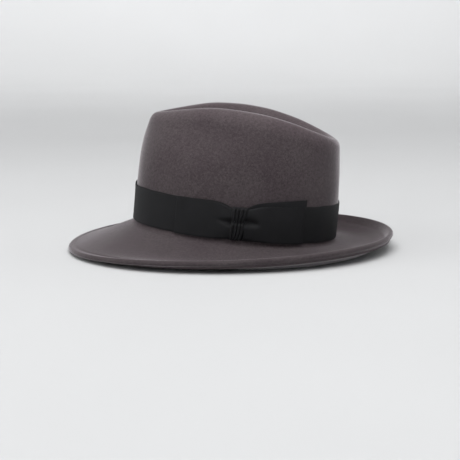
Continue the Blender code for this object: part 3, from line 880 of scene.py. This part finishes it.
class Nodes:
    """Short way to build a material's node tree."""

    def __init__(self, name):
        self.material = bpy.data.materials.new(name)
        self.material.use_nodes = True
        self.tree = self.material.node_tree
        self.shader = self.tree.nodes["Principled BSDF"]

    def add(self, kind, **settings):
        node = self.tree.nodes.new(kind)
        for key, value in settings.items():
            setattr(node, key, value)
        return node

    def link(self, a, b):
        self.tree.links.new(a, b)

    def object_space(self):
        return self.add("ShaderNodeTexCoord").outputs["Object"]

    def noise(self, at, scale, detail=3.0, roughness=0.55, stretch=None):
        if stretch:
            mapping = self.add("ShaderNodeMapping")
            mapping.inputs["Scale"].default_value = stretch
            self.link(at, mapping.inputs["Vector"])
            at = mapping.outputs["Vector"]
        node = self.add("ShaderNodeTexNoise")
        node.inputs["Scale"].default_value = scale
        node.inputs["Detail"].default_value = detail
        node.inputs["Roughness"].default_value = roughness
        self.link(at, node.inputs["Vector"])
        return node.outputs["Fac"]

    def ramp(self, value, low, high, from_value=0.0, to_value=1.0):
        """Colour between low and high as value goes from from_value to to_value."""
        node = self.add("ShaderNodeValToRGB")
        node.color_ramp.elements[0].position = from_value
        node.color_ramp.elements[0].color = (*low, 1)
        node.color_ramp.elements[1].position = to_value
        node.color_ramp.elements[1].color = (*high, 1)
        self.link(value, node.inputs["Fac"])
        return node.outputs["Color"]

    def math(self, operation, a, b=0.0, c=0.0):
        node = self.add("ShaderNodeMath", operation=operation)
        for socket, value in zip(node.inputs, (a, b, c)):
            if isinstance(value, (int, float)):
                socket.default_value = value
            else:
                self.link(value, socket)
        return node.outputs["Value"]

    def mix(self, factor, a, b, blend="MIX"):
        node = self.add("ShaderNodeMix", data_type="RGBA", blend_type=blend)
        node.inputs["Factor"].default_value = 1.0
        if isinstance(factor, (int, float)):
            node.inputs["Factor"].default_value = factor
        else:
            self.link(factor, node.inputs["Factor"])
        self.link(a, node.inputs["A"])
        self.link(b, node.inputs["B"])
        return node.outputs["Result"]

    def bump(self, height, distance, strength=1.0, before=None):
        node = self.add("ShaderNodeBump")
        node.inputs["Distance"].default_value = distance
        node.inputs["Strength"].default_value = strength
        self.link(height, node.inputs["Height"])
        if before:
            self.link(before, node.inputs["Normal"])
        return node.outputs["Normal"]

    def cloth_axes(self):
        """Distances along and across the strip, in metres."""
        uv = self.add("ShaderNodeUVMap", uv_map="cloth").outputs["UV"]
        split = self.add("ShaderNodeSeparateXYZ")
        self.link(uv, split.inputs["Vector"])
        return uv, split.outputs["X"], split.outputs["Y"]

    def finish(self, colour=None, roughness=None, normal=None, **constants):
        if colour:
            self.link(colour, self.shader.inputs["Base Color"])
        if roughness is not None:
            if isinstance(roughness, float):
                self.shader.inputs["Roughness"].default_value = roughness
            else:
                self.link(roughness, self.shader.inputs["Roughness"])
        if normal:
            self.link(normal, self.shader.inputs["Normal"])
        for key, value in constants.items():
            self.shader.inputs[key.replace("_", " ")].default_value = value
        return self.material


def ridge_highlight_mask(n, at):
    """Mask of a painted highlight: 1 on the crown's ridges and 0 a set depth below them."""
    in_hat = n.add("ShaderNodeMapping", vector_type="TEXTURE")
    in_hat.inputs["Location"].default_value = HAT_AT
    in_hat.inputs["Rotation"].default_value = (0, TILT, 0)
    n.link(at, in_hat.inputs["Vector"])
    split = n.add("ShaderNodeSeparateXYZ")
    n.link(in_hat.outputs["Vector"], split.inputs["Vector"])
    away = n.math("SUBTRACT", split.outputs["X"], PEAK_X)
    fall = n.math("MULTIPLY", n.math("MULTIPLY", away, away), FALL_BACK)
    below = n.math("SUBTRACT", n.math("SUBTRACT", PEAK, fall), split.outputs["Z"])
    return n.math("SUBTRACT", 1.0, n.math("DIVIDE", below, HIGHLIGHT_DEEP))


def felt_material():
    """Fur felt: fine brushed nap, soft mottling, the bloom of its fibres and a highlight painted along the
    ridges.
    """
    n = Nodes("fur_felt")
    at = n.object_space()
    cloud = n.noise(at, 22, 3, 0.5)
    speck = n.noise(at, 420, 4, 0.6)
    fibre = n.noise(at, 1700, 3, 0.7, (1.0, 1.0, 0.5))
    base = n.ramp(cloud, FELT_DARK, FELT_PALE, 0.35, 0.65)
    grain = n.ramp(speck, (0.80, 0.80, 0.80), (1.20, 1.20, 1.20), 0.32, 0.68)
    nap = n.ramp(fibre, (0.70, 0.70, 0.70), (1.30, 1.28, 1.29), 0.32, 0.72)
    colour = n.mix(1.0, n.mix(1.0, base, grain, "MULTIPLY"), nap, "MULTIPLY")
    # Painted highlight: the felt is painted lighter along the crown's ridges
    painted_highlight = n.ramp(ridge_highlight_mask(n, at), (1.0, 1.0, 1.0), RIDGE_HIGHLIGHT)
    colour = n.mix(1.0, colour, painted_highlight, "MULTIPLY")
    coarse = n.bump(speck, 0.00030, 0.45)
    normal = n.bump(fibre, 0.00020, 0.5, coarse)
    return n.finish(colour, 0.95, normal, Sheen_Weight=FELT_SHEEN, Sheen_Roughness=0.32,
                    Sheen_Tint=FELT_BLOOM, Specular_IOR_Level=0.12)


def grosgrain_material():
    """Black grosgrain: crosswise ribs, a plain woven selvedge and a low silk sheen."""
    n = Nodes("black_grosgrain")
    uv, along, over = n.cloth_axes()
    wobble = n.noise(uv, 320, 2)
    place = n.math("ADD", along, n.math("MULTIPLY", n.math("SUBTRACT", wobble, 0.5), 0.00020))
    rib = n.math("SINE", n.math("MULTIPLY", place, 2 * math.pi / RIB))
    rib = n.math("MULTIPLY_ADD", rib, 0.5, 0.5)
    thread = n.math("SINE", n.math("MULTIPLY", over, 2 * math.pi / 0.00042))
    thread = n.math("MULTIPLY_ADD", thread, 0.5, 0.5)
    weave = n.math("MULTIPLY_ADD", thread, 0.25, n.math("MULTIPLY", rib, 0.75))
    shade = n.noise(uv, 55, 3)
    # The colour is painted lighter on the raised ribs and threads and darker in the grooves between them:
    # painted highlight and painted shade.
    colour = n.mix(1.0, n.ramp(weave, (0.0072, 0.0072, 0.0079), (0.0175, 0.0175, 0.0190)),
                   n.ramp(shade, (0.85, 0.85, 0.86), (1.15, 1.15, 1.16), 0.3, 0.7), "MULTIPLY")
    rough = n.math("MULTIPLY_ADD", shade, 0.14, 0.56)
    normal = n.bump(weave, 0.00016, 0.6)
    return n.finish(colour, rough, normal, Sheen_Weight=0.02, Sheen_Roughness=0.35, Specular_IOR_Level=0.15)


def leather_material():
    """Dark brown sweatband leather with pebbled grain."""
    n = Nodes("sweatband_leather")
    at = n.object_space()
    cells = n.add("ShaderNodeTexVoronoi", feature="DISTANCE_TO_EDGE")
    cells.inputs["Scale"].default_value = 900
    n.link(at, cells.inputs["Vector"])
    pore = n.math("MINIMUM", n.math("MULTIPLY", cells.outputs["Distance"], 3.0), 1.0)
    tone = n.noise(at, 45, 4)
    fine = n.noise(at, 1800, 2)
    colour = n.mix(1.0, n.ramp(tone, (0.040, 0.022, 0.014), (0.075, 0.043, 0.027), 0.3, 0.7),
                   n.ramp(pore, (0.55, 0.55, 0.55), (1.1, 1.1, 1.1), 0.0, 0.6), "MULTIPLY")
    rough = n.math("MULTIPLY_ADD", tone, 0.18, 0.36)
    normal = n.bump(fine, 0.00008, 0.4, n.bump(pore, 0.00016, 0.6))
    return n.finish(colour, rough, normal, Specular_IOR_Level=0.45)


def satin_material():
    """Dark lining satin with a soft lengthwise sheen."""
    n = Nodes("lining_satin")
    at = n.object_space()
    thread = n.noise(at, 900, 2, 0.5, (1.0, 1.0, 0.08))
    cloud = n.noise(at, 30, 3)
    colour = n.mix(1.0, n.ramp(cloud, (0.030, 0.027, 0.032), (0.048, 0.044, 0.050), 0.3, 0.7),
                   n.ramp(thread, (0.8, 0.8, 0.8), (1.2, 1.2, 1.2), 0.3, 0.7), "MULTIPLY")
    rough = n.math("MULTIPLY_ADD", thread, 0.15, 0.26)
    normal = n.bump(thread, 0.00008, 0.5)
    return n.finish(colour, rough, normal, Sheen_Weight=0.15, Specular_IOR_Level=0.6)


def tape_material():
    """Black cotton tape and thread."""
    n = Nodes("cotton_tape")
    at = n.object_space()
    weave = n.add("ShaderNodeTexChecker")
    weave.inputs["Scale"].default_value = 2600
    n.link(at, weave.inputs["Vector"])
    fuzz = n.noise(at, 1400, 3)
    colour = n.mix(1.0, n.ramp(fuzz, (0.013, 0.013, 0.015), (0.032, 0.032, 0.035), 0.3, 0.7),
                   n.ramp(weave.outputs["Fac"], (0.85, 0.85, 0.85), (1.1, 1.1, 1.1)), "MULTIPLY")
    normal = n.bump(fuzz, 0.00012, 0.6)
    return n.finish(colour, 0.85, normal, Sheen_Weight=0.1)


def thread_material():
    """Waxed sewing thread, laid in two plies."""
    n = Nodes("sewing_thread")
    at = n.object_space()
    ply = n.noise(at, 3000, 2, 0.5, (1.0, 1.0, 2.0))
    colour = n.ramp(ply, (0.10, 0.08, 0.06), (0.24, 0.19, 0.15), 0.3, 0.7)
    return n.finish(colour, 0.6, n.bump(ply, 0.0001, 0.6), Specular_IOR_Level=0.4)


def reed_material():
    """Milky plastic reed."""
    n = Nodes("plastic_reed")
    at = n.object_space()
    streak = n.noise(at, 400, 3)
    colour = n.ramp(streak, (0.50, 0.50, 0.46), (0.64, 0.64, 0.60), 0.3, 0.7)
    return n.finish(colour, n.math("MULTIPLY_ADD", streak, 0.2, 0.3), n.bump(streak, 0.00005, 0.4))


def card_material():
    """Cream card with paper fibres and one thin printed border line."""
    n = Nodes("paper_card")
    at = n.object_space()
    _, along, over = n.cloth_axes()
    fibre = n.noise(at, 1300, 4, 0.65)
    paper = n.mix(1.0, n.ramp(n.noise(at, 120, 3), (0.62, 0.58, 0.49), (0.74, 0.71, 0.62), 0.3, 0.7),
                  n.ramp(fibre, (0.88, 0.88, 0.88), (1.06, 1.06, 1.06), 0.3, 0.7), "MULTIPLY")
    side = n.math("SUBTRACT", TAG_HALF - TAG_BORDER, n.math("ABSOLUTE", along))
    middle = (TAG_FROM + TAG_TO) / 2
    away = n.math("ABSOLUTE", n.math("SUBTRACT", over, middle))
    end = n.math("SUBTRACT", (TAG_TO - TAG_FROM) / 2 - TAG_BORDER, away)
    edge = n.math("ABSOLUTE", n.math("MINIMUM", side, end))
    line = n.math("LESS_THAN", edge, TAG_LINE)
    ink = n.ramp(fibre, (0.05, 0.05, 0.06), (0.09, 0.09, 0.10))
    return n.finish(n.mix(line, paper, ink), 0.8, n.bump(fibre, 0.00006, 0.4))


def floor_material():
    """Plain pale paper: a little deeper on the floor than up the wall."""
    n = Nodes("studio_paper")
    at = n.object_space()
    split = n.add("ShaderNodeSeparateXYZ")
    n.link(at, split.inputs["Vector"])
    rise = n.ramp(split.outputs["Z"], PAPER_FLOOR, PAPER_WALL, 0.0, 0.8)
    cloud = n.ramp(n.noise(at, 2.0, 2), (0.985, 0.985, 0.985), (1.015, 1.015, 1.015), 0.3, 0.7)
    colour = n.mix(1.0, rise, cloud, "MULTIPLY")
    return n.finish(colour, 0.9, n.bump(n.noise(at, 300, 2), 0.0001, 0.2))


# ---------------------------------------------------------------- studio

def studio_floor():
    """Pale round sweep: flat under the hat and curving up into a wall all round."""
    sides = 96
    profile = [(0.02, 0.0), (1.2, 0.0), (SWEEP_FLAT, 0.0)]
    for a in np.radians(np.linspace(6, 90, 15)):
        profile.append((SWEEP_FLAT + SWEEP_BEND * math.sin(a), SWEEP_BEND - SWEEP_BEND * math.cos(a)))
    profile.append((SWEEP_FLAT + SWEEP_BEND, SWEEP_HIGH))
    verts = [(r * math.cos(t), r * math.sin(t), z) for r, z in profile
             for t in np.arange(sides) * 2 * math.pi / sides]
    faces = loop_faces(len(profile), sides, False)
    faces.append(tuple(range(sides)))
    mesh = bpy.data.meshes.new("studio_sweep")
    mesh.from_pydata(verts, [], faces)
    mesh.shade_smooth()
    sweep = bpy.data.objects.new("studio_sweep", mesh)
    bpy.context.scene.collection.objects.link(sweep)
    sweep.data.materials.append(floor_material())


def soft_light(name, at, size, watts):
    light = bpy.data.lights.new(name, "AREA")
    light.shape = "RECTANGLE"
    light.size, light.size_y = size
    light.energy = watts
    lamp = bpy.data.objects.new(name, light)
    lamp.location = at
    lamp.rotation_euler = (Vector(HAT_CENTRE) - Vector(at)).to_track_quat("-Z", "Y").to_euler()
    lamp.visible_camera = False
    bpy.context.scene.collection.objects.link(lamp)
    return lamp


def wall_wash(name, azimuth, watts):
    """Narrow light on the sweep's wall; its spread keeps it off the hat."""
    out = Vector((math.cos(math.radians(azimuth)), math.sin(math.radians(azimuth)), 0))
    at = out * WASH_AT[0] + Vector((0, 0, WASH_AT[1]))
    aim = out * WASH_AIM[0] + Vector((0, 0, WASH_AIM[1]))
    lamp = soft_light(name, at, WASH_SIZE, watts)
    lamp.data.spread = WASH_SPREAD
    lamp.rotation_euler = (aim - at).to_track_quat("-Z", "Y").to_euler()


def studio_lights():
    for name, at, size, watts in LIGHTS:
        soft_light(name, at, size, watts)
    for name, azimuth, watts in WASHES:
        wall_wash(name, azimuth, watts)
    world = bpy.data.worlds.new("studio_air")
    world.use_nodes = True
    world.node_tree.nodes["Background"].inputs["Color"].default_value = AIR_COLOUR
    world.node_tree.nodes["Background"].inputs["Strength"].default_value = AIR
    bpy.context.scene.world = world


def camera():
    data = bpy.data.cameras.new("side_camera")
    data.lens = CAMERA_LENS
    data.sensor_width = CAMERA_SENSOR
    data.clip_end = 50
    eye = bpy.data.objects.new("side_camera", data)
    look = (Vector(CAMERA_AIM) - Vector(CAMERA_AT)).to_track_quat("-Z", "Y").to_matrix().to_4x4()
    eye.matrix_world = Matrix.Translation(CAMERA_AT) @ look @ Matrix.Rotation(CAMERA_ROLL, 4, "Z")
    bpy.context.scene.collection.objects.link(eye)
    bpy.context.scene.camera = eye


def main():
    bpy.context.scene.view_settings.view_transform = "Standard"
    camera()
    studio_floor()
    studio_lights()
    felt_body(felt_material())
    ribbon = grosgrain_material()
    hatband(ribbon)
    bow(ribbon)
    bow_knot(ribbon)
    satin = satin_material()
    lining_wall(satin)
    lining_tip(satin)
    lining_piping(satin)
    sweatband(leather_material())
    tape = tape_material()
    reed_and_tape(reed_material(), tape)
    thread = thread_material()
    leather_stitches(thread)
    seam_stitches(thread)
    seam_bow(tape)
    size_tag(card_material())


main()
